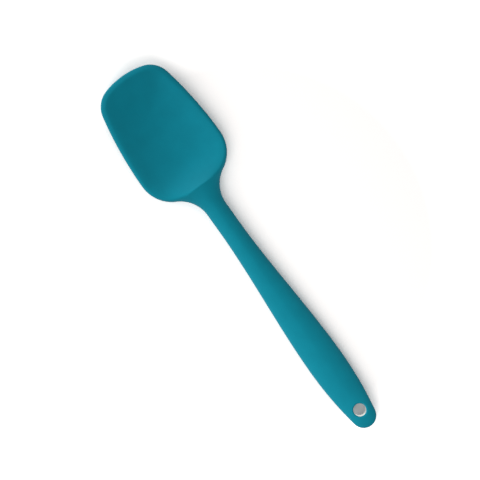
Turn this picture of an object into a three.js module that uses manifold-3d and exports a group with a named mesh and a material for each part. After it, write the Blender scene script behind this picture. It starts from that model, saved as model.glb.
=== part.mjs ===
// Silicone spoon: one soft skin, bowl and grip together, moulded over a stiff nylon core.
// It lies on a table as used: bowl open towards +Z, bowl tip at -X, hanging end at +X.
// A station is a distance from the bowl's tip along the spoon. Millimetres throughout.

import * as THREE from 'three';
import { mergeVertices } from 'three/addons/utils/BufferGeometryUtils.js';
import Module from 'manifold-3d';

const wasm = await Module();
wasm.setup();
const { lerp, smoothstep, clamp } = THREE.MathUtils;

// Outline seen from above
const LENGTH = 280;
const TIP_RADIUS = 52;
const TIP_CORNER_RADIUS = 16;
const BOWL_WIDTH = 62.6;
const BOWL_WIDEST_STATION = 66;
const BOWL_SIDE_RADIUS = 248;
const SHOULDER_RADIUS = 23.5;
const NECK_WIDTH = 14.4;
const NECK_FILLET_RADIUS = 22;
const NECK_STRAIGHT = 14;
const GRIP_WIDTH = 24.2;
const GRIP_WIDEST_TO_END = 50;
const END_RADIUS = 8.3;

// Side profile, as heights above the table
const RIM_HEIGHT = 9;
const RIM_LOWEST_STATION = 55;
const TIP_RISE = 4.5;
const NECK_HEIGHT = 9;
const NECK_THICKNESS = 10;
const CREST_RISE = 3;
const CREST_RUN = 20;
const GRIP_THICKNESS = 12.4;
const GRIP_REST_TO_END = 48;
const END_THICKNESS = 8;
const END_RISE = 4;
const HANDLE_SECTION_POWER = 1.8;
const PARTING_SHARE = 0.42;
const REST_FLAT_DEPTH = 0.4;

// Bowl
const HOLLOW_LENGTH = 87.5;
const BACK_WALL_RUN = 28;
const BACK_WALL_POWER = 2.6;
const CREASE_ROUNDING = 0.6;
const LIP_ROUNDING = 1.5;
const DISH_FOCUS_STATION = 30;
const DISH_POWER = 1.9;
const DISH_SWEEP = 2;
const BOWL_WALL = 4.6;
const RIM_RISE = 2;
const TIP_LIP_WIDTH = 3.6;
const BACK_LIP_WIDTH = 1.6;
const LID_RUN = 12;

// Hanging hole
const HOLE_RADIUS = 4.2;
const HOLE_TO_END = 12.7;
const HOLE_EDGE_ROUNDING = 1;

// Core: how deep it lies in the silicone, and the openings that key the two together
const CLEARANCE = 0.3;
const BOWL_SKIN = 1.2;
const BOWL_LIP = 9;
const HANDLE_SKIN = 2.6;
const EYE_SKIN = 1;
const HANDLE_SIDE_WALL = 3;
const SLOT_LENGTH = 11;
const SLOT_WIDTH = 4;
const SLOT_PITCH = 17;
const SLOT_FIRST_STATION = 132;
const SLOT_TO_HOLE = 18;
const KEY_HOLE_RADIUS = 2.5;
const KEY_HOLE_FIRST_STATION = 30;
const KEY_HOLE_PITCH = 16;
const KEY_HOLE_ROWS = 3;
const KEY_HOLE_SPREAD = 20;

// Facets
const FACET_LENGTH = 6;
const FACET_ANGLE = Math.PI / 16;
const SECTION_RINGS = 7;
const RIM_RINGS = 2;
const CORE_RINGS = 3;
const HOLE_SIDES = 32;
const EDGE_STEPS = 3;
const KEY_SIDES = 12;

// Places that follow from the sizes above
const bowlHalf = BOWL_WIDTH / 2;
const neckHalf = NECK_WIDTH / 2;
const gripHalf = GRIP_WIDTH / 2;
const gripWidestStation = LENGTH - GRIP_WIDEST_TO_END;
const gripRestStation = LENGTH - GRIP_REST_TO_END;
const gripPartingHeight = GRIP_THICKNESS * (1 - PARTING_SHARE) - REST_FLAT_DEPTH;
const holeStation = LENGTH - HOLE_TO_END;
const shoulderCentre = new THREE.Vector2(BOWL_WIDEST_STATION, bowlHalf - SHOULDER_RADIUS);
const neckRise = neckHalf + NECK_FILLET_RADIUS - shoulderCentre.y;
const neckRun = Math.sqrt((SHOULDER_RADIUS + NECK_FILLET_RADIUS) ** 2 - neckRise ** 2);
const neckCentre = new THREE.Vector2(BOWL_WIDEST_STATION + neckRun, neckHalf + NECK_FILLET_RADIUS);
const neckStation = neckCentre.x;
const gripStartStation = neckStation + NECK_STRAIGHT;
const quarterTurn = Math.PI / 2;

// Centre of the circle that touches two larger circles from inside, to the left of the way from a to b
function innerTangentCentre(a, radiusA, b, radiusB, radius) {
  const reachA = radiusA - radius;
  const reachB = radiusB - radius;
  const gap = a.distanceTo(b);
  const along = b.clone().sub(a).divideScalar(gap);
  const forward = (gap ** 2 + reachA ** 2 - reachB ** 2) / (2 * gap);
  const left = Math.sqrt(reachA ** 2 - forward ** 2);
  return new THREE.Vector2(
    a.x + along.x * forward - along.y * left,
    a.y + along.y * forward + along.x * left,
  );
}

const bearing = (from, to) => Math.atan2(to.y - from.y, to.x - from.x);

function arc(centre, radius, start, end, clockwise) {
  return new THREE.EllipseCurve(centre.x, centre.y, radius, radius, start, end, clockwise);
}

// Half of the outline on the +Y side, from the tip to the hanging end: arcs that run into each other
function halfOutline() {
  const tip = new THREE.Vector2(TIP_RADIUS, 0);
  const side = new THREE.Vector2(BOWL_WIDEST_STATION, bowlHalf - BOWL_SIDE_RADIUS);
  const corner = innerTangentCentre(side, BOWL_SIDE_RADIUS, tip, TIP_RADIUS, TIP_CORNER_RADIUS);
  const tipToCorner = bearing(tip, corner);
  const sideToCorner = bearing(side, corner);
  const shoulderToNeck = bearing(shoulderCentre, neckCentre);
  const taperRun = GRIP_WIDEST_TO_END - END_RADIUS;
  const gripSideRadius = (taperRun ** 2 + gripHalf ** 2 - END_RADIUS ** 2) / (2 * (gripHalf - END_RADIUS));
  const gripSide = new THREE.Vector2(gripWidestStation, gripHalf - gripSideRadius);
  const end = new THREE.Vector2(LENGTH - END_RADIUS, 0);
  const sideToEnd = bearing(gripSide, end);
  const swell = (gripWidestStation - gripStartStation) / 3;
  return [
    arc(tip, TIP_RADIUS, Math.PI, tipToCorner, true),
    arc(corner, TIP_CORNER_RADIUS, tipToCorner, sideToCorner, true),
    arc(side, BOWL_SIDE_RADIUS, sideToCorner, quarterTurn, true),
    arc(shoulderCentre, SHOULDER_RADIUS, quarterTurn, shoulderToNeck, true),
    arc(neckCentre, NECK_FILLET_RADIUS, shoulderToNeck + Math.PI, 3 * quarterTurn, false),
    new THREE.LineCurve(
      new THREE.Vector2(neckStation, neckHalf),
      new THREE.Vector2(gripStartStation, neckHalf),
    ),
    new THREE.CubicBezierCurve(
      new THREE.Vector2(gripStartStation, neckHalf),
      new THREE.Vector2(gripStartStation + swell, neckHalf),
      new THREE.Vector2(gripWidestStation - swell, gripHalf),
      new THREE.Vector2(gripWidestStation, gripHalf),
    ),
    arc(gripSide, gripSideRadius, quarterTurn, sideToEnd, true),
    arc(end, END_RADIUS, sideToEnd, 0, true),
  ];
}

// A rib runs in plan from a foot on the centre line out to a point of the outline.
// Ribs stand square to the centre line, and fan out round the dish's focus and round the hanging hole.
const footOf = (point) => new THREE.Vector2(clamp(point.x, DISH_FOCUS_STATION, holeStation), 0);

function ribTo(point, normal) {
  const foot = footOf(point);
  const reach = point.distanceTo(foot);
  const squareness = point.clone().sub(foot).dot(normal) / reach;
  return { point, normal, foot, reach, squareness };
}

function outlineRibs() {
  const ribs = [];
  for (const curve of halfOutline()) {
    const turn = curve.isEllipseCurve ? Math.abs(curve.aEndAngle - curve.aStartAngle) : 0;
    const steps = Math.ceil(Math.max(curve.getLength() / FACET_LENGTH, turn / FACET_ANGLE));
    for (let i = ribs.length ? 1 : 0; i <= steps; i++) {
      const tangent = curve.getTangent(i / steps);
      ribs.push(ribTo(curve.getPoint(i / steps), new THREE.Vector2(-tangent.y, tangent.x)));
    }
  }
  ribs[0] = ribTo(new THREE.Vector2(0, 0), new THREE.Vector2(-1, 0));
  ribs[ribs.length - 1] = ribTo(new THREE.Vector2(LENGTH, 0), new THREE.Vector2(1, 0));
  return ribs;
}

const ribs = outlineRibs();

// Where a plan point lies in the order of the ribs: by station, and by angle inside the two fans
function ribOrder(point) {
  if (point.x < DISH_FOCUS_STATION) {
    return DISH_FOCUS_STATION - Math.atan2(DISH_FOCUS_STATION - point.x, point.y);
  }
  if (point.x > holeStation) {
    return holeStation + Math.atan2(point.x - holeStation, point.y);
  }
  return point.x;
}

// The rib through any plan point, and how far along it the point lies: 0 at the foot, 1 at the outline
function locate(point) {
  const order = ribOrder(point);
  let i = 1;
  while (i < ribs.length - 1 && ribOrder(ribs[i].point) < order) i++;
  const [before, after] = [ribs[i - 1], ribs[i]];
  const start = ribOrder(before.point);
  const share = clamp((order - start) / (ribOrder(after.point) - start), 0, 1);
  const rib = ribTo(before.point.clone().lerp(after.point, share), after.normal);
  return { rib, across: point.distanceTo(rib.foot) / rib.reach };
}

// How far the form has changed from bowl (0) to handle (1)
const handleShare = (station) => smoothstep(station, BOWL_WIDEST_STATION, neckStation);

function ease(from, to, start, end, station) {
  return lerp(from, to, smoothstep(station, start, end));
}

// The mould's parting line: the rim of the bowl, then the middle of the handle's side
function partingHeight(station) {
  if (station < RIM_LOWEST_STATION) {
    return RIM_HEIGHT + TIP_RISE * (1 - station / RIM_LOWEST_STATION) ** 2;
  }
  if (station < neckStation) {
    return ease(RIM_HEIGHT, NECK_HEIGHT, RIM_LOWEST_STATION, neckStation, station);
  }
  if (station < gripRestStation) {
    return ease(NECK_HEIGHT, gripPartingHeight, neckStation, gripRestStation, station);
  }
  return gripPartingHeight + END_RISE * ((station - gripRestStation) / GRIP_REST_TO_END) ** 2;
}

function handleThickness(station) {
  if (station < gripRestStation) {
    return ease(NECK_THICKNESS, GRIP_THICKNESS, neckStation, gripRestStation, station);
  }
  return ease(GRIP_THICKNESS, END_THICKNESS, gripRestStation, holeStation, station);
}

// Underside of the handle along the centre line, before the resting flat is taken off it
function handleKeelHeight(station) {
  return partingHeight(station) - (1 - PARTING_SHARE) * handleThickness(station);
}

// Top of the handle along the centre line; it rises towards the crease at the bowl's back
function crestHeight(station) {
  const ahead = clamp(1 - (station - HOLLOW_LENGTH) / CREST_RUN, 0, 1);
  return partingHeight(station) + PARTING_SHARE * handleThickness(station) + CREST_RISE * ahead ** 2;
}

// Underside of the bowl along the centre line, before the resting flat is taken off it
function bowlKeelHeight(station) {
  const ahead = Math.max(RIM_LOWEST_STATION - station, 0) / (RIM_LOWEST_STATION - DISH_FOCUS_STATION);
  return DISH_SWEEP * ahead ** 2 - REST_FLAT_DEPTH;
}

// Floor of the hollow along the centre line, climbing to the top of the neck at the crease
function floorHeight(station) {
  const level = Math.max(bowlKeelHeight(station), 0) + BOWL_WALL;
  const climb = Math.max(station - HOLLOW_LENGTH + BACK_WALL_RUN, 0) / BACK_WALL_RUN;
  return lerp(level, crestHeight(HOLLOW_LENGTH), climb ** BACK_WALL_POWER);
}

function roundedMin(a, b, rounding) {
  const overlap = Math.max(rounding - Math.abs(a - b), 0) / rounding;
  return Math.min(a, b) - (overlap ** 2 * rounding) / 4;
}

// Rise of the handle's section, from 0 at its edge to 1 on the centre line
function crown(across) {
  return Math.max(1 - across ** HANDLE_SECTION_POWER, 0) ** (1 / HANDLE_SECTION_POWER);
}

// The part of a rib that lies in the rim's rounded lip; the lip narrows from the tip to the crease
function lipShareOf(rib) {
  const width = lerp(TIP_LIP_WIDTH, BACK_LIP_WIDTH, Math.min(rib.point.x / HOLLOW_LENGTH, 1));
  return width / (rib.reach * rib.squareness);
}

// Heights of the spoon's top and underside on a rib.
// The top is the lower of two surfaces: a lid over lip and handle, and the hollow, which meet at the crease.
function surfaceHeights(rib, across) {
  const foot = rib.foot.x;
  const edge = partingHeight(rib.point.x);
  const lipShare = lipShareOf(rib);
  const rim = RIM_RISE * Math.sqrt(1 - Math.max(1 - (1 - across) / lipShare, 0) ** 2);
  const crestRise = crestHeight(foot) - edge;
  const lidShare = smoothstep(rib.point.x, HOLLOW_LENGTH - LID_RUN, HOLLOW_LENGTH);
  const lid = edge + lerp(rim, crestRise * crown(across), lidShare);
  const lip = edge + lerp(RIM_RISE, crestRise * crown(1 - lipShare), lidShare);
  const inside = Math.min(across / (1 - lipShare), 1);
  const behind = Math.max(foot - HOLLOW_LENGTH, 0);
  const hollow = lerp(floorHeight(foot), lip, inside ** DISH_POWER) + behind;
  const belly = lerp(edge, handleKeelHeight(foot), crown(across));
  const dish = lerp(bowlKeelHeight(foot), edge - rim, across ** DISH_POWER);
  return {
    top: roundedMin(lid, hollow, lerp(LIP_ROUNDING, CREASE_ROUNDING, lidShare)),
    under: Math.max(lerp(dish, belly, handleShare(rib.point.x)), 0),
  };
}

// Section of the whole spoon on a rib: over the top from the centre line to the edge, and back below
function spoonSection(rib) {
  const share = handleShare(rib.point.x);
  const lipShare = lipShareOf(rib);
  const top = [];
  const under = [];
  for (let ring = 1; ring <= SECTION_RINGS; ring++) {
    const turn = quarterTurn * Math.min(ring / RIM_RINGS, 1);
    const inward = Math.max(ring - RIM_RINGS, 0) / (SECTION_RINGS - RIM_RINGS);
    const inBowl = lerp(1 - lipShare * (1 - Math.cos(turn)), 0, inward);
    const inHandle = Math.cos((quarterTurn * ring) / SECTION_RINGS);
    const across = ring < SECTION_RINGS ? lerp(inBowl, inHandle, share) : 0;
    const plan = rib.foot.clone().lerp(rib.point, across);
    const heights = surfaceHeights(rib, across);
    top.unshift(new THREE.Vector3(plan.x, plan.y, heights.top));
    under.push(new THREE.Vector3(plan.x, plan.y, heights.under));
  }
  const edge = new THREE.Vector3(rib.point.x, rib.point.y, partingHeight(rib.point.x));
  return [...top, edge, ...under];
}

// Thickness of silicone over the core; it thins to the eye, where the core lines the hanging hole
function skinThickness(station) {
  const handleSkin = ease(HANDLE_SKIN, EYE_SKIN, holeStation - SLOT_TO_HOLE, holeStation, station);
  return lerp(BOWL_SKIN, handleSkin, handleShare(station));
}

// Section of the core on a rib, grown by a gap where it shapes the cavity around the core
function coreSection(rib, gap) {
  const inset = lerp(BOWL_LIP, HANDLE_SIDE_WALL, handleShare(rib.point.x)) - gap;
  const edge = rib.point.clone().addScaledVector(rib.normal, -inset);
  const foot = footOf(edge);
  const top = [];
  const under = [];
  for (let ring = 0; ring <= CORE_RINGS; ring++) {
    const plan = edge.clone().lerp(foot, ring / CORE_RINGS);
    const place = locate(plan);
    const heights = surfaceHeights(place.rib, place.across);
    const skin = skinThickness(place.rib.point.x) - gap;
    top.unshift(new THREE.Vector3(plan.x, plan.y, heights.top - skin));
    under.push(new THREE.Vector3(plan.x, plan.y, heights.under + skin));
  }
  return [...top, ...under];
}

// A closed skin over sections on the +Y side and their mirror images
function loft(sections) {
  const positions = [];
  const index = [];
  const columns = sections[0].length;
  for (const mirror of [1, -1]) {
    const start = positions.length / 3;
    for (const point of sections.flat()) positions.push(point.x, point.y * mirror, point.z);
    for (let row = 0; row < sections.length - 1; row++) {
      for (let column = 0; column < columns - 1; column++) {
        const a = start + row * columns + column;
        const corners = [a, a + columns, a + columns + 1, a + 1];
        const [p, q, r, s] = mirror > 0 ? corners : corners.toReversed();
        index.push(p, q, r, p, r, s);
      }
    }
  }
  const geometry = new THREE.BufferGeometry();
  geometry.setAttribute('position', new THREE.Float32BufferAttribute(positions, 3));
  geometry.setIndex(index);
  return geometry;
}

// Closed geometry as a solid, without the triangles that shrink to a line where ribs share a foot
function solidOf(geometry) {
  geometry.deleteAttribute('normal');
  geometry.deleteAttribute('uv');
  const merged = mergeVertices(geometry);
  const corners = merged.index.array;
  const triangles = [];
  for (let i = 0; i < corners.length; i += 3) {
    const [a, b, c] = corners.slice(i, i + 3);
    if (a !== b && b !== c && c !== a) triangles.push(a, b, c);
  }
  const mesh = new wasm.Mesh({
    numProp: 3,
    vertProperties: merged.attributes.position.array,
    triVerts: new Uint32Array(triangles),
  });
  return new wasm.Manifold(mesh);
}

function meshOf(name, solid, material) {
  const { vertProperties, triVerts } = solid.getMesh();
  const geometry = new THREE.BufferGeometry();
  geometry.setAttribute('position', new THREE.BufferAttribute(vertProperties, 3));
  geometry.setIndex(new THREE.BufferAttribute(triVerts, 1));
  geometry.computeVertexNormals();
  const mesh = new THREE.Mesh(geometry, material);
  mesh.name = name;
  mesh.position.x = -LENGTH / 2;
  return mesh;
}

// Section of the hanging hole's cutter on one side of its axis, from above the handle to below it.
// It flares where it breaks through the handle, so that the hole's edges are rounded.
function holeSection(turn) {
  const out = new THREE.Vector2(Math.cos(turn), Math.sin(turn));
  const place = (radius, height) => new THREE.Vector3(holeStation + out.x * radius, out.y * radius, height);
  const top = [];
  const under = [];
  for (let step = 0; step <= EDGE_STEPS; step++) {
    const flare = (quarterTurn * step) / EDGE_STEPS;
    const radius = HOLE_RADIUS + HOLE_EDGE_ROUNDING * (1 - Math.cos(flare));
    const drop = HOLE_EDGE_ROUNDING * (1 - Math.sin(flare));
    const { rib, across } = locate(new THREE.Vector2(holeStation + out.x * radius, out.y * radius));
    const heights = surfaceHeights(rib, across);
    top.unshift(place(radius, heights.top - drop));
    under.push(place(radius, heights.under + drop));
  }
  const wide = HOLE_RADIUS + HOLE_EDGE_ROUNDING;
  const above = crestHeight(holeStation) + wide;
  const below = handleKeelHeight(holeStation) - wide;
  return [place(0, above), place(wide, above), ...top, ...under, place(wide, below), place(0, below)];
}

function hangingHole() {
  const sections = [];
  for (let side = HOLE_SIDES / 2; side >= 0; side--) {
    sections.push(holeSection((2 * Math.PI * side) / HOLE_SIDES));
  }
  return solidOf(loft(sections));
}

// Slots along the grip and holes in the paddle, through which the silicone joins across the core
function keys(gap) {
  const prisms = [];
  const depth = NECK_HEIGHT + NECK_THICKNESS;
  const end = SLOT_LENGTH / 2 - SLOT_WIDTH / 2;
  const slot = new THREE.Shape();
  slot.absarc(end, 0, SLOT_WIDTH / 2 - gap, -quarterTurn, quarterTurn, false);
  slot.absarc(-end, 0, SLOT_WIDTH / 2 - gap, quarterTurn, 3 * quarterTurn, false);
  const options = { depth, bevelEnabled: false, curveSegments: KEY_SIDES / 2 };
  const lastSlot = holeStation - SLOT_TO_HOLE;
  for (let station = SLOT_FIRST_STATION; station <= lastSlot; station += SLOT_PITCH) {
    prisms.push(new THREE.ExtrudeGeometry(slot, options).translate(station, 0, 0));
  }
  for (let row = 0; row < KEY_HOLE_ROWS; row++) {
    for (const side of [-1, 1]) {
      const peg = new THREE.CylinderGeometry(KEY_HOLE_RADIUS - gap, KEY_HOLE_RADIUS - gap, depth, KEY_SIDES);
      peg.rotateX(quarterTurn);
      const station = KEY_HOLE_FIRST_STATION + row * KEY_HOLE_PITCH;
      prisms.push(peg.translate(station, (side * KEY_HOLE_SPREAD) / 2, depth / 2));
    }
  }
  return prisms.map(solidOf);
}

function coreSolid(gap) {
  const body = solidOf(loft(ribs.map((rib) => coreSection(rib, gap))));
  return keys(gap).reduce((rest, key) => rest.subtract(key), body);
}

const hole = hangingHole();
const spoon = solidOf(loft(ribs.map(spoonSection)));
const skin = spoon.subtract(coreSolid(CLEARANCE)).subtract(hole);
const core = coreSolid(0).subtract(hole);

const silicone = new THREE.MeshStandardMaterial({ color: 0x12788c, roughness: 0.6, metalness: 0 });
const nylon = new THREE.MeshStandardMaterial({ color: 0xd9d8d2, roughness: 0.5, metalness: 0 });

const group = new THREE.Group();
group.add(meshOf('silicone_skin', skin, silicone));
group.add(meshOf('nylon_core', core, nylon));

export default group;
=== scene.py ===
"""Looks of a teal silicone spoon that lies on a pale table and is seen straight from above.

A station is a distance from the bowl's tip along the spoon. Metres throughout.
"""

import math

import bmesh
import bpy
import numpy as np
from mathutils import Matrix, Vector


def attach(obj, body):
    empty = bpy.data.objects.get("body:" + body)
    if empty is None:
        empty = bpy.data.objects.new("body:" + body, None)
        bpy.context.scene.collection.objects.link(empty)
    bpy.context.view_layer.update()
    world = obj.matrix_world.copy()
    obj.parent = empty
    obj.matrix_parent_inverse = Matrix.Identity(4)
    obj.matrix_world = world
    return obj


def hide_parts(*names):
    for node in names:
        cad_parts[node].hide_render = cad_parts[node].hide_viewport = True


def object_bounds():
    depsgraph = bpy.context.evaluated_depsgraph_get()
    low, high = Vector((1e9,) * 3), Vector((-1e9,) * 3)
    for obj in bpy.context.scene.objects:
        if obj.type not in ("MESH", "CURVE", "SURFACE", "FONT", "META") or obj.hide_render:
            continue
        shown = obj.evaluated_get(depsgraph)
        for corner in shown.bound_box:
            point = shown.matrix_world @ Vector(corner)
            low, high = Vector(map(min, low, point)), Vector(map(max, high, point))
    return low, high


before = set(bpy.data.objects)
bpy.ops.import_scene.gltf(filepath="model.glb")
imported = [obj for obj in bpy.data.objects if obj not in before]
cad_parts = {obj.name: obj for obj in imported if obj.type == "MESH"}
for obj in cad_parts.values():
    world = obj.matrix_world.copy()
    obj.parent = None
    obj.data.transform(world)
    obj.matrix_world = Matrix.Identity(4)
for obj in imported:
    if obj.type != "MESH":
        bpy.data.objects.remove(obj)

cad_low, cad_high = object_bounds()
MM = 0.001

# Outline seen from above
LENGTH = cad_high.x - cad_low.x
BOWL_HALF = (cad_high.y - cad_low.y) / 2
TIP_RADIUS = 52 * MM
TIP_CORNER_RADIUS = 16 * MM
BOWL_WIDEST_STATION = 66 * MM
BOWL_SIDE_RADIUS = 248 * MM
SHOULDER_RADIUS = 23.5 * MM
NECK_HALF = 7.2 * MM
NECK_FILLET_RADIUS = 22 * MM
NECK_STRAIGHT = 14 * MM
GRIP_HALF = 12.1 * MM
GRIP_WIDEST_TO_END = 50 * MM
END_RADIUS = 8.3 * MM

# Side profile, as heights above the table
RIM_HEIGHT = 9 * MM
RIM_LOWEST_STATION = 55 * MM
TIP_RISE = 4.5 * MM
NECK_HEIGHT = 9 * MM
NECK_THICKNESS = 10 * MM
CREST_RISE = 3 * MM
CREST_RUN = 20 * MM
GRIP_THICKNESS = 12.4 * MM
GRIP_REST_TO_END = 48 * MM
END_THICKNESS = 8 * MM
END_RISE = 4 * MM
HANDLE_SECTION_POWER = 1.8
PARTING_SHARE = 0.42
REST_FLAT_DEPTH = 0.4 * MM

# Bowl
HOLLOW_LENGTH = 87.5 * MM
BACK_WALL_RUN = 28 * MM
BACK_WALL_POWER = 2.6
CREASE_ROUNDING = 0.6 * MM
LIP_ROUNDING = 1.5 * MM
DISH_FOCUS_STATION = 30 * MM
DISH_POWER = 1.9
DISH_SWEEP = 2 * MM
BOWL_WALL = 4.6 * MM
RIM_RISE = 2 * MM
TIP_LIP_WIDTH = 3.6 * MM
BACK_LIP_WIDTH = 1.6 * MM
LID_RUN = 12 * MM

# Hanging hole
HOLE_RADIUS = 4.2 * MM
HOLE_TO_END = 12.7 * MM
HOLE_EDGE_ROUNDING = 1 * MM

# The core's room in the silicone, and the fine ridge that the mould leaves round the edge
CLEARANCE = 0.3 * MM
FLASH_HEIGHT = 0.1 * MM

# Fineness of the silicone's mesh
OUTLINE_STEPS = 240
RIB_STEP = 0.9 * MM
CREASE_RIB_STEP = 0.45 * MM
CREASE_REACH = 11 * MM
RINGS = 44
RIM_RINGS = 8
TAIL_RIBS = 70
EYE_RINGS = 30
EDGE_STEPS = 8
WALL_STEPS = 6
MERGE_DISTANCE = 1e-6
SHORTEST_EDGE = 1e-7
SHARP_ANGLE = math.radians(35)

# Materials; noise mostly keeps to its range
SILICONE_COLOUR = (0.003, 0.215, 0.292)
NYLON_COLOUR = (0.69, 0.68, 0.64)
NOISE_RANGE = (0.3, 0.7)
MOTTLE_DETAIL = 3
GRAIN_DETAIL = 2
GRAIN_STRENGTH = 0.5
GLOSS_SPREAD = 0.1

# The photograph's frame: where the spoon lies in it, and which way its axis runs
PHOTO_SIZE = 480
MIDDLE_PIXEL = (246.8, 251.2)
LENGTH_PIXELS = 427
AXIS_RIGHT = 0.5799
AXIS_DOWN = 0.8147
VIEW_ANGLE = math.radians(25)
LOOK_HEIGHT = 9 * MM
CLIP_START = 10 * MM

# Lamps: a softbox, two low side lamps and one for the hole's wall, in a white tent.
# A far lamp's share is the brightness that it gives to level white.
SOFTBOX_PLACE = (90 * MM, -120 * MM, 240 * MM)
SOFTBOX_SIZE = 290 * MM
SOFTBOX_POWER = 0.37
SIDE_TURNS = {"corner_lamp": math.radians(145), "left_lamp": math.radians(170)}
SIDE_ELEVATION = math.radians(14)
SIDE_SHARE = 0.1
EYE_TURN = math.radians(80)
EYE_ELEVATION = math.radians(45)
EYE_SHARE = 0.8
FAR_LAMP_SPREAD = math.radians(24)
TENT_LEVEL = 0.45
TENT_SEEN = 1

# Table, and how far the camera's view of it is exposed, with painted light and painted shade on it
FLOOR_REACH = 3
FLOOR_GAP = 0.02 * MM
FLOOR_WHITE = 0.75
FLOOR_TINT = (1.03, 1, 0.985)
FLOOR_SEEN_NEAR = 1.37
FLOOR_SEEN_FAR = 1.96
FLOOR_FAR = 400 * MM
# Painted light round the spoon's ends and on the softbox's side, which thins the shadow there
PAINTED_ENDS_START = 122 * MM
PAINTED_ENDS_LIFT = 1.3
PAINTED_LAMP_SIDE_LIFT = 1.1
# Painted shade: through the hanging hole the camera sees the table's own darker colour
PAINTED_HOLE_SHADE_START = 1.2 * HOLE_RADIUS
PAINTED_HOLE_SHADE_END = 2 * HOLE_RADIUS

# Places that follow from the sizes above
grip_widest = LENGTH - GRIP_WIDEST_TO_END
grip_rest = LENGTH - GRIP_REST_TO_END
grip_parting_height = GRIP_THICKNESS * (1 - PARTING_SHARE) - REST_FLAT_DEPTH
hole_station = LENGTH - HOLE_TO_END
shoulder_centre = np.array([BOWL_WIDEST_STATION, BOWL_HALF - SHOULDER_RADIUS])
neck_rise = NECK_HALF + NECK_FILLET_RADIUS - shoulder_centre[1]
neck_run = math.sqrt((SHOULDER_RADIUS + NECK_FILLET_RADIUS) ** 2 - neck_rise**2)
neck_centre = np.array([BOWL_WIDEST_STATION + neck_run, NECK_HALF + NECK_FILLET_RADIUS])
neck_station = neck_centre[0]
grip_start = neck_station + NECK_STRAIGHT
eye_start = hole_station - 2 * GRIP_HALF
photo_right = Vector((AXIS_RIGHT, AXIS_DOWN, 0))
photo_up = Vector((-AXIS_DOWN, AXIS_RIGHT, 0))


def lerp(a, b, t):
    """The value that lies t of the way from a to b."""
    return a + (b - a) * t


def smoothstep(x, start, end):
    """Rises softly from 0 at the start to 1 at the end."""
    t = np.clip((x - start) / (end - start), 0, 1)
    return t * t * (3 - 2 * t)


def rounded_min(a, b, rounding):
    """The lower of two heights, with a rounded crease where they are close."""
    overlap = np.maximum(rounding - np.abs(a - b), 0) / rounding
    return np.minimum(a, b) - overlap**2 * rounding / 4


def bearing(start, end):
    """Angle of the way from one point to another."""
    return math.atan2(end[1] - start[1], end[0] - start[0])


def arc_points(centre, radius, start, end, count):
    """Points of an arc from one angle to another."""
    turn = np.linspace(start, end, count)
    return np.stack([centre[0] + radius * np.cos(turn), centre[1] + radius * np.sin(turn)], 1)


def inner_tangent_centre(a, radius_a, b, radius_b, radius):
    """Centre of the circle that touches two larger circles from inside, left of the way from a to b."""
    reach_a, reach_b = radius_a - radius, radius_b - radius
    gap = np.linalg.norm(b - a)
    along = (b - a) / gap
    forward = (gap**2 + reach_a**2 - reach_b**2) / (2 * gap)
    left = math.sqrt(reach_a**2 - forward**2)
    return a + along * forward + np.array([-along[1], along[0]]) * left


def half_outline(count):
    """Points of the outline on the +Y side, from the tip to the hanging end, count on each stretch."""
    tip = np.array([TIP_RADIUS, 0])
    side = np.array([BOWL_WIDEST_STATION, BOWL_HALF - BOWL_SIDE_RADIUS])
    corner = inner_tangent_centre(side, BOWL_SIDE_RADIUS, tip, TIP_RADIUS, TIP_CORNER_RADIUS)
    taper_run = GRIP_WIDEST_TO_END - END_RADIUS
    taper = 2 * (GRIP_HALF - END_RADIUS)
    grip_side_radius = (taper_run**2 + GRIP_HALF**2 - END_RADIUS**2) / taper
    grip_side = np.array([grip_widest, GRIP_HALF - grip_side_radius])
    end = np.array([LENGTH - END_RADIUS, 0])
    up = math.pi / 2
    to_neck = bearing(shoulder_centre, neck_centre)
    swell = np.linspace(0, 1, count)
    grip = np.stack([
        lerp(grip_start, grip_widest, swell),
        lerp(NECK_HALF, GRIP_HALF, smoothstep(swell, 0, 1)),
    ], 1)
    stretches = [
        arc_points(tip, TIP_RADIUS, math.pi, bearing(tip, corner), count),
        arc_points(corner, TIP_CORNER_RADIUS, bearing(tip, corner), bearing(side, corner), count),
        arc_points(side, BOWL_SIDE_RADIUS, bearing(side, corner), up, count),
        arc_points(shoulder_centre, SHOULDER_RADIUS, up, to_neck, count),
        arc_points(neck_centre, NECK_FILLET_RADIUS, to_neck + math.pi, 3 * up, count),
        grip,
        arc_points(grip_side, grip_side_radius, up, bearing(grip_side, end), count),
        arc_points(end, END_RADIUS, bearing(grip_side, end), 0, count),
    ]
    points = np.concatenate([stretches[0]] + [s[1:] for s in stretches[1:]])
    points[[0, -1], 1] = 0
    return points


def handle_share(station):
    """How far the form has changed from bowl (0) to handle (1)."""
    return smoothstep(station, BOWL_WIDEST_STATION, neck_station)


def parting_height(station):
    """The mould's parting line: the rim of the bowl, then the middle of the handle's side."""
    tip = RIM_HEIGHT + TIP_RISE * np.maximum(1 - station / RIM_LOWEST_STATION, 0) ** 2
    neck = tip + (NECK_HEIGHT - RIM_HEIGHT) * smoothstep(station, RIM_LOWEST_STATION, neck_station)
    grip = neck + (grip_parting_height - NECK_HEIGHT) * smoothstep(station, neck_station, grip_rest)
    return grip + END_RISE * (np.maximum(station - grip_rest, 0) / GRIP_REST_TO_END) ** 2


def handle_thickness(station):
    """Thickness of the handle on the centre line."""
    grip = lerp(NECK_THICKNESS, GRIP_THICKNESS, smoothstep(station, neck_station, grip_rest))
    return grip + (END_THICKNESS - GRIP_THICKNESS) * smoothstep(station, grip_rest, hole_station)


def crest_height(station):
    """Top of the handle along the centre line; it rises towards the crease at the bowl's back."""
    ahead = np.clip(1 - (station - HOLLOW_LENGTH) / CREST_RUN, 0, 1)
    return parting_height(station) + PARTING_SHARE * handle_thickness(station) + CREST_RISE * ahead**2


def lip_width(station):
    """Width of the rim's rounded lip, which narrows from the tip to the crease."""
    return lerp(TIP_LIP_WIDTH, BACK_LIP_WIDTH, np.minimum(station / HOLLOW_LENGTH, 1))


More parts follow.
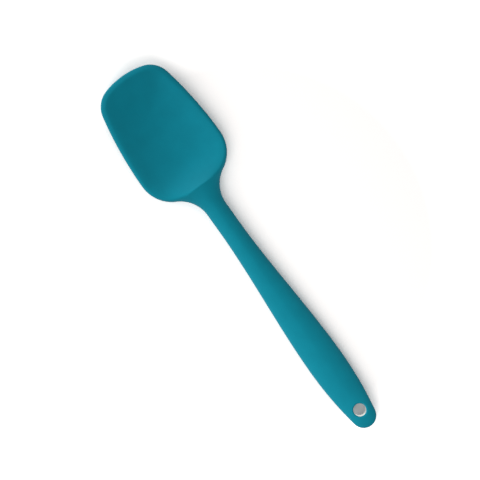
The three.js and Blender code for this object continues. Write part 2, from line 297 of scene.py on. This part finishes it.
def bowl_keel_height(station):
    """Underside of the bowl along the centre line; where it is below 0, the resting flat cuts it off."""
    ahead = np.maximum(RIM_LOWEST_STATION - station, 0) / (RIM_LOWEST_STATION - DISH_FOCUS_STATION)
    return DISH_SWEEP * ahead**2 - REST_FLAT_DEPTH


def floor_height(station):
    """Floor of the hollow along the centre line, climbing to the top of the neck at the crease."""
    level = np.maximum(bowl_keel_height(station), 0) + BOWL_WALL
    climb = np.maximum(station - HOLLOW_LENGTH + BACK_WALL_RUN, 0) / BACK_WALL_RUN
    return lerp(level, crest_height(HOLLOW_LENGTH), climb**BACK_WALL_POWER)


def crown(across):
    """Rise of the handle's section, from 0 at its edge to 1 on the centre line."""
    return (1 - across**HANDLE_SECTION_POWER) ** (1 / HANDLE_SECTION_POWER)


def rib_order(plan):
    """Where plan points lie in the order of the ribs: by station, and by angle inside the two fans."""
    x, y = plan[..., 0], plan[..., 1]
    ahead = np.maximum(DISH_FOCUS_STATION - x, 0)
    behind = np.maximum(x - hole_station, 0)
    order = np.clip(x, DISH_FOCUS_STATION, hole_station)
    order = np.where(ahead > 0, order - np.arctan2(ahead, y), order)
    return np.where(behind > 0, order + np.arctan2(behind, y), order)


# Dense outline that every plan point is looked up in
outline = half_outline(OUTLINE_STEPS)
outline_order = rib_order(outline)
tangent = np.gradient(outline, axis=0)
outline_normal = np.stack([-tangent[:, 1], tangent[:, 0]], 1)
outline_normal /= np.linalg.norm(outline_normal, axis=1)[:, None]
outline_normal[[0, -1]] = [[-1, 0], [1, 0]]


def rib_shape(edge, normal):
    """Ribs from the outline to the centre line: their feet, lengths and the lip's share of them."""
    station, half = edge[..., 0], edge[..., 1]
    foot = np.clip(station, DISH_FOCUS_STATION, hole_station)
    reach = np.hypot(station - foot, half)
    squareness = ((station - foot) * normal[..., 0] + half * normal[..., 1]) / reach
    return foot, reach, lip_width(station) / (reach * squareness)


def surface_heights(plan):
    """Heights of the spoon's top and underside at plan points on the +Y side."""
    order = rib_order(plan)
    edge, normal = (
        np.stack([np.interp(order, outline_order, column) for column in points.T], -1)
        for points in (outline, outline_normal)
    )
    foot, reach, lip_share = rib_shape(edge, normal)
    across = np.clip(np.hypot(plan[..., 0] - foot, plan[..., 1]) / reach, 0, 1)
    station = edge[..., 0]
    side = parting_height(station)
    rim = RIM_RISE * np.sqrt(1 - np.maximum(1 - (1 - across) / lip_share, 0) ** 2)
    crest_rise = crest_height(foot) - side
    lid_share = smoothstep(station, HOLLOW_LENGTH - LID_RUN, HOLLOW_LENGTH)
    lid = side + lerp(rim, crest_rise * crown(across), lid_share)
    lip = side + lerp(RIM_RISE, crest_rise * crown(1 - lip_share), lid_share)
    inside = np.minimum(across / (1 - lip_share), 1)
    past_crease = np.maximum(foot - HOLLOW_LENGTH, 0)
    hollow = lerp(floor_height(foot), lip, inside**DISH_POWER) + past_crease
    top = rounded_min(lid, hollow, lerp(LIP_ROUNDING, CREASE_ROUNDING, lid_share))
    keel = parting_height(foot) - (1 - PARTING_SHARE) * handle_thickness(foot)
    belly = lerp(side, keel, crown(across))
    dish = lerp(bowl_keel_height(foot), side - rim, across**DISH_POWER)
    under = np.maximum(lerp(dish, belly, handle_share(station)), 0)
    return np.where(across < 1, top, side), np.where(across < 1, under, side)


def rib_places():
    """Indices into the dense outline for the ribs ahead of the eye, closer together round the crease."""
    run = np.concatenate([[0], np.cumsum(np.linalg.norm(np.diff(outline, axis=0), axis=1))])
    places = [0]
    while outline[places[-1], 0] < eye_start:
        near_crease = abs(outline[places[-1], 0] - HOLLOW_LENGTH) < CREASE_REACH
        step = CREASE_RIB_STEP if near_crease else RIB_STEP
        places.append(max(int(np.searchsorted(run, run[places[-1]] + step)), places[-1] + 1))
    return np.array(places)


def tail_places(start):
    """Indices into the dense outline round the eye, from the hanging end back to the last rib."""
    return np.unique(np.linspace(start, len(outline) - 1, TAIL_RIBS).astype(int))[::-1]


def body_plan(places):
    """Plan grid of the spoon ahead of the eye: one row a rib, from the outline to the centre line."""
    edge = outline[places]
    foot, _, lip_share = rib_shape(edge, outline_normal[places])
    ring = np.arange(RINGS + 1)
    turn = np.minimum(ring / RIM_RINGS, 1) * math.pi / 2
    inward = np.maximum(ring - RIM_RINGS, 0) / (RINGS - RIM_RINGS)
    in_bowl = (1 - lip_share[:, None] * (1 - np.cos(turn))) * (1 - inward)
    in_handle = np.cos(ring / RINGS * math.pi / 2)
    across = lerp(in_bowl, in_handle, handle_share(edge[:, 0])[:, None])
    across[:, -1] = 0
    feet = np.stack([foot, np.zeros(len(foot))], 1)
    return feet[:, None, :] + across[..., None] * (edge - feet)[:, None, :]


def eye_plan(tail, last_row):
    """Plan grid round the hanging hole, and how far each of its columns is let in at the hole's edge.

    Rows run from the hanging end round to the centre line on the bowl side, and columns from the
    hole's wall out to the outline or to the body's last rib."""
    border = np.concatenate([outline[tail], last_row[1:]])
    centre = np.array([hole_station, 0])
    ray = border - centre
    ray /= np.linalg.norm(ray, axis=1)[:, None]
    turn = np.arange(EDGE_STEPS + 1) / EDGE_STEPS * math.pi / 2
    lip = HOLE_RADIUS + HOLE_EDGE_ROUNDING * (1 - np.cos(turn))
    lip_plan = centre + ray[:, None, :] * lip[:, None]
    outward = np.sin(np.arange(1, EYE_RINGS + 1) / EYE_RINGS * math.pi / 2)[:, None]
    field = lip_plan[:, -1:, :] + outward * (border[:, None, :] - lip_plan[:, -1:, :])
    drop = np.concatenate([HOLE_EDGE_ROUNDING * (1 - np.sin(turn)), np.zeros(EYE_RINGS)])
    return np.concatenate([lip_plan, field], 1), drop


def surface_sheets(plan, drop):
    """Points of the top and of the underside over a plan grid, let in by the drop."""
    top, under = surface_heights(plan)
    return [np.concatenate([plan, height[..., None]], -1) for height in (top - drop, under + drop)]


def skin_sheets():
    """The +Y half of the silicone's outer form, as grids of points that meet at their borders."""
    places = rib_places()
    body = body_plan(places)
    tail = tail_places(places[-1])
    eye, drop = eye_plan(tail, body[-1])
    body_sheets = surface_sheets(body, 0)
    eye_sheets = surface_sheets(eye, drop)
    hole_top, hole_under = (sheet[:, :1, :] for sheet in eye_sheets)
    wall = lerp(hole_top, hole_under, np.linspace(0, 1, WALL_STEPS + 1)[None, :, None])
    for sheet in body_sheets:
        sheet[:, 0, :2] += FLASH_HEIGHT * outline_normal[places]
    for sheet in eye_sheets:
        sheet[:len(tail), -1, :2] += FLASH_HEIGHT * outline_normal[tail]
    return [*body_sheets, *eye_sheets, wall]


def grid_faces(rows, columns, start):
    """Quads of a grid of points whose first point has the index start."""
    a = start + np.arange(rows - 1)[:, None] * columns + np.arange(columns - 1)[None, :]
    return np.stack([a, a + 1, a + columns + 1, a + columns], -1).reshape(-1, 4)


def skin_mesh():
    """The outer form of the silicone with its hanging hole, as one closed mesh."""
    sheets = skin_sheets()
    verts, faces, start = [], [], 0
    for mirror in (1, -1):
        for sheet in sheets:
            rows, columns = sheet.shape[:2]
            verts.append(sheet.reshape(-1, 3) * [1, mirror, 1])
            faces.append(grid_faces(rows, columns, start))
            start += rows * columns
    verts = np.concatenate(verts) - [LENGTH / 2, 0, 0]
    mesh = bpy.data.meshes.new("silicone")
    mesh.from_pydata(verts.tolist(), [], np.concatenate(faces).tolist())
    work = bmesh.new()
    work.from_mesh(mesh)
    bmesh.ops.remove_doubles(work, verts=work.verts, dist=MERGE_DISTANCE)
    bmesh.ops.dissolve_degenerate(work, edges=work.edges, dist=SHORTEST_EDGE)
    bmesh.ops.recalc_face_normals(work, faces=work.faces)
    work.to_mesh(mesh)
    work.free()
    mesh.shade_smooth()
    return mesh


def grown_core(core):
    """The core and its clearance, as a mesh in the part's frame."""
    room = bmesh.new()
    room.from_mesh(core.data)
    room.transform(core.matrix_world)
    bmesh.ops.remove_doubles(room, verts=room.verts, dist=MERGE_DISTANCE)
    room.normal_update()
    places = [vert.co + vert.normal * CLEARANCE for vert in room.verts]
    for vert, place in zip(room.verts, places):
        vert.co = place
    mesh = bpy.data.meshes.new("core_room")
    room.to_mesh(mesh)
    room.free()
    return mesh


def cut_core_room(skin, core):
    """Takes the core and its clearance out of the silicone, so that the core shows in the hole."""
    cutter = bpy.data.objects.new("core_room", grown_core(core))
    bpy.context.scene.collection.objects.link(cutter)
    cut = skin.modifiers.new("core_room", "BOOLEAN")
    cut.operation = "DIFFERENCE"
    cut.solver = "EXACT"
    cut.object = cutter
    shaped = skin.evaluated_get(bpy.context.evaluated_depsgraph_get())
    mesh = bpy.data.meshes.new_from_object(shaped)
    skin.modifiers.clear()
    skin.data = mesh
    bpy.data.objects.remove(cutter)
    mesh.shade_smooth()
    mesh.set_sharp_from_angle(angle=SHARP_ANGLE)


def new_material(name):
    """A material with its nodes and links."""
    material = bpy.data.materials.new(name)
    material.use_nodes = True
    return material, material.node_tree.nodes, material.node_tree.links


def add_noise(nodes, links, size, detail):
    """Noise that is fixed to the part, with features of about the given size."""
    place = nodes.new("ShaderNodeTexCoord")
    noise = nodes.new("ShaderNodeTexNoise")
    noise.inputs["Scale"].default_value = 1 / size
    noise.inputs["Detail"].default_value = detail
    links.new(place.outputs["Object"], noise.inputs["Vector"])
    return noise.outputs["Fac"]


def add_range(nodes, links, value, start, end, low, high):
    """Carries a value that runs from start to end over to the range from low to high."""
    change = nodes.new("ShaderNodeMapRange")
    change.inputs["From Min"].default_value = start
    change.inputs["From Max"].default_value = end
    change.inputs["To Min"].default_value = low
    change.inputs["To Max"].default_value = high
    links.new(value, change.inputs["Value"])
    return change.outputs["Result"]


def add_distance(nodes, links, spot):
    """Distance from a spot in the object's own coordinates."""
    place = nodes.new("ShaderNodeTexCoord")
    distance = nodes.new("ShaderNodeVectorMath")
    distance.operation = "DISTANCE"
    distance.inputs[1].default_value = spot
    links.new(place.outputs["Object"], distance.inputs[0])
    return distance.outputs["Value"]


def add_math(nodes, links, operation, a, b):
    """Joins two values by an operation."""
    result = nodes.new("ShaderNodeMath")
    result.operation = operation
    links.new(a, result.inputs[0])
    links.new(b, result.inputs[1])
    return result.outputs["Value"]


def add_seen(nodes, links):
    """1 for what the camera sees, straight, mirrored or through glass, and 0 for what lights the part."""
    path = nodes.new("ShaderNodeLightPath")
    seen = path.outputs["Is Camera Ray"]
    for kind in ("Is Glossy Ray", "Is Transmission Ray"):
        seen = add_math(nodes, links, "MAXIMUM", seen, path.outputs[kind])
    return seen


def moulded_material(
    name, colour, variation, mottle_size, grain_size, grain_depth, roughness, specular, sheen
):
    """A moulded surface: its colour and gloss drift a little, and a fine grain breaks its reflections."""
    material, nodes, links = new_material(name)
    shader = nodes["Principled BSDF"]
    shader.inputs["Specular IOR Level"].default_value = specular
    shader.inputs["Sheen Weight"].default_value = sheen
    mottle = add_noise(nodes, links, mottle_size, MOTTLE_DETAIL)
    grain = add_noise(nodes, links, grain_size, GRAIN_DETAIL)
    tint = nodes.new("ShaderNodeMix")
    tint.data_type = "RGBA"
    tint.inputs["A"].default_value = (*(c * (1 - variation) for c in colour), 1)
    tint.inputs["B"].default_value = (*(c * (1 + variation) for c in colour), 1)
    links.new(add_range(nodes, links, mottle, *NOISE_RANGE, 0, 1), tint.inputs["Factor"])
    links.new(tint.outputs["Result"], shader.inputs["Base Color"])
    smoothest, roughest = roughness * (1 - GLOSS_SPREAD), roughness * (1 + GLOSS_SPREAD)
    gloss = add_range(nodes, links, grain, *NOISE_RANGE, smoothest, roughest)
    links.new(gloss, shader.inputs["Roughness"])
    bump = nodes.new("ShaderNodeBump")
    bump.inputs["Strength"].default_value = GRAIN_STRENGTH
    bump.inputs["Distance"].default_value = grain_depth
    links.new(grain, bump.inputs["Height"])
    links.new(bump.outputs["Normal"], shader.inputs["Normal"])
    return material


def silicone_material():
    """Matte teal silicone."""
    return moulded_material(
        "teal_silicone",
        SILICONE_COLOUR,
        variation=0.03,
        mottle_size=9 * MM,
        grain_size=0.5 * MM,
        grain_depth=0.004 * MM,
        roughness=0.6,
        specular=0.02,
        sheen=0.12,
    )


def nylon_material():
    """Pale nylon, as it comes from the mould."""
    return moulded_material(
        "natural_nylon",
        NYLON_COLOUR,
        variation=0.06,
        mottle_size=1.2 * MM,
        grain_size=0.3 * MM,
        grain_depth=0.006 * MM,
        roughness=0.5,
        specular=0.4,
        sheen=0,
    )


def floor_material():
    """A pale table. What the camera sees of it is exposed to white, more so at a distance; painted light
    thins the shadow round the spoon's ends and on the softbox's side, and painted shade darkens the
    hanging hole."""
    material, nodes, links = new_material("pale_floor")
    shader = nodes["Principled BSDF"]
    shader.inputs["Roughness"].default_value = 1
    shader.inputs["Specular IOR Level"].default_value = 0
    from_lamp = add_distance(nodes, links, (SOFTBOX_PLACE[0], 0, 0))
    from_middle = add_distance(nodes, links, (0, 0, 0))
    from_hole = add_distance(nodes, links, (hole_station - LENGTH / 2, 0, 0))
    place = nodes.new("ShaderNodeTexCoord")
    parts = nodes.new("ShaderNodeSeparateXYZ")
    links.new(place.outputs["Object"], parts.inputs["Vector"])
    level = add_range(nodes, links, from_lamp, 0, FLOOR_FAR, FLOOR_SEEN_NEAR, FLOOR_SEEN_FAR)
    # Painted light that thins the shadow round the spoon's ends and on the softbox's side
    ends = add_range(nodes, links, from_middle, PAINTED_ENDS_START, LENGTH / 2, 1, PAINTED_ENDS_LIFT)
    side = add_range(nodes, links, parts.outputs["Y"], -NECK_HALF, NECK_HALF, PAINTED_LAMP_SIDE_LIFT, 1)
    # Painted shade in the hanging hole, where the table is not exposed to white
    clear_of_painted_hole_shade = add_range(nodes, links, from_hole, PAINTED_HOLE_SHADE_START, PAINTED_HOLE_SHADE_END, 0, 1)
    painted_light = add_math(nodes, links, "MULTIPLY", ends, side)
    white = nodes.new("ShaderNodeVectorMath")
    white.operation = "SCALE"
    white.inputs[0].default_value = FLOOR_TINT
    links.new(add_math(nodes, links, "MULTIPLY", level, painted_light), white.inputs["Scale"])
    colour = nodes.new("ShaderNodeMix")
    colour.data_type = "RGBA"
    colour.inputs["A"].default_value = (FLOOR_WHITE, FLOOR_WHITE, FLOOR_WHITE, 1)
    links.new(white.outputs["Vector"], colour.inputs["B"])
    exposed = add_math(nodes, links, "MULTIPLY", add_seen(nodes, links), clear_of_painted_hole_shade)
    links.new(exposed, colour.inputs["Factor"])
    links.new(colour.outputs["Result"], shader.inputs["Base Color"])
    return material


def add_floor():
    """The table, just under the spoon."""
    mesh = bpy.data.meshes.new("floor")
    corners = [(x * FLOOR_REACH, y * FLOOR_REACH, 0) for x, y in ((-1, -1), (1, -1), (1, 1), (-1, 1))]
    mesh.from_pydata(corners, [], [(0, 1, 2, 3)])
    mesh.materials.append(floor_material())
    floor = bpy.data.objects.new("floor", mesh)
    floor.location.z = -FLOOR_GAP
    bpy.context.scene.collection.objects.link(floor)


def add_camera():
    """A camera straight above the table, with the spoon where the photograph shows it."""
    pixel = LENGTH / LENGTH_PIXELS
    off_right = (MIDDLE_PIXEL[0] - PHOTO_SIZE / 2) * pixel
    off_up = (PHOTO_SIZE / 2 - MIDDLE_PIXEL[1]) * pixel
    height = PHOTO_SIZE * pixel / 2 / math.tan(VIEW_ANGLE / 2)
    data = bpy.data.cameras.new("camera")
    data.angle = VIEW_ANGLE
    data.clip_start = CLIP_START
    camera = bpy.data.objects.new("camera", data)
    turn = Matrix((photo_right, photo_up, (0, 0, 1))).transposed().to_4x4()
    place = -photo_right * off_right - photo_up * off_up + Vector((0, 0, height + LOOK_HEIGHT))
    camera.matrix_world = Matrix.Translation(place) @ turn
    bpy.context.scene.collection.objects.link(camera)
    bpy.context.scene.camera = camera


def add_lamp(name, data, place, target):
    """A lamp that is turned to its target and isn't seen itself."""
    lamp = bpy.data.objects.new(name, data)
    lamp.location = place
    lamp.rotation_euler = (place - target).to_track_quat("Z", "Y").to_euler()
    lamp.visible_camera = False
    bpy.context.scene.collection.objects.link(lamp)
    return lamp


def add_softbox():
    """A square softbox above the grip, on the side that the shadow falls away from."""
    data = bpy.data.lights.new("softbox", "AREA")
    data.size = SOFTBOX_SIZE
    data.energy = SOFTBOX_POWER
    add_lamp("softbox", data, Vector(SOFTBOX_PLACE), Vector((0, 0, LOOK_HEIGHT)))


def add_far_lamp(name, turn, elevation, share, pieces):
    """A broad far lamp that lights only the given pieces; its turn is anticlockwise from the
    photograph's right."""
    lit = bpy.data.collections.new("lit_by_" + name)
    for piece in pieces:
        lit.objects.link(piece)
    data = bpy.data.lights.new(name, "SUN")
    data.energy = share * math.pi / math.sin(elevation)
    data.angle = FAR_LAMP_SPREAD
    side = (photo_right * math.cos(turn) + photo_up * math.sin(turn)) * math.cos(elevation)
    lamp = add_lamp(name, data, side + Vector((0, 0, math.sin(elevation))), Vector())
    lamp.light_linking.receiver_collection = lit


def add_world():
    """Even white light from all round; the camera sees plain white where the floor ends."""
    world = bpy.data.worlds.new("studio")
    bpy.context.scene.world = world
    world.use_nodes = True
    nodes, links = world.node_tree.nodes, world.node_tree.links
    level = nodes.new("ShaderNodeMix")
    level.inputs["A"].default_value = TENT_LEVEL
    level.inputs["B"].default_value = TENT_SEEN
    links.new(add_seen(nodes, links), level.inputs["Factor"])
    links.new(level.outputs["Result"], nodes["Background"].inputs["Strength"])
    nodes["Background"].inputs["Color"].default_value = (1, 1, 1, 1)


# The spoon: the silicone is modelled here, and the core is the CAD solid with a material
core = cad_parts["nylon_core"]
silicone_skin = bpy.data.objects.new("silicone_spoon_skin", skin_mesh())
bpy.context.scene.collection.objects.link(silicone_skin)
cut_core_room(silicone_skin, core)
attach(silicone_skin, "root")
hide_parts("silicone_skin")
silicone_skin.data.materials.append(silicone_material())
core.data.materials.clear()
core.data.materials.append(nylon_material())

# The studio
bpy.context.scene.view_settings.view_transform = "Standard"
add_camera()
add_softbox()
for side_name, side_turn in SIDE_TURNS.items():
    add_far_lamp(side_name, side_turn, SIDE_ELEVATION, SIDE_SHARE, (silicone_skin, core))
add_far_lamp("eye_lamp", EYE_TURN, EYE_ELEVATION, EYE_SHARE, (core,))
add_world()
add_floor()
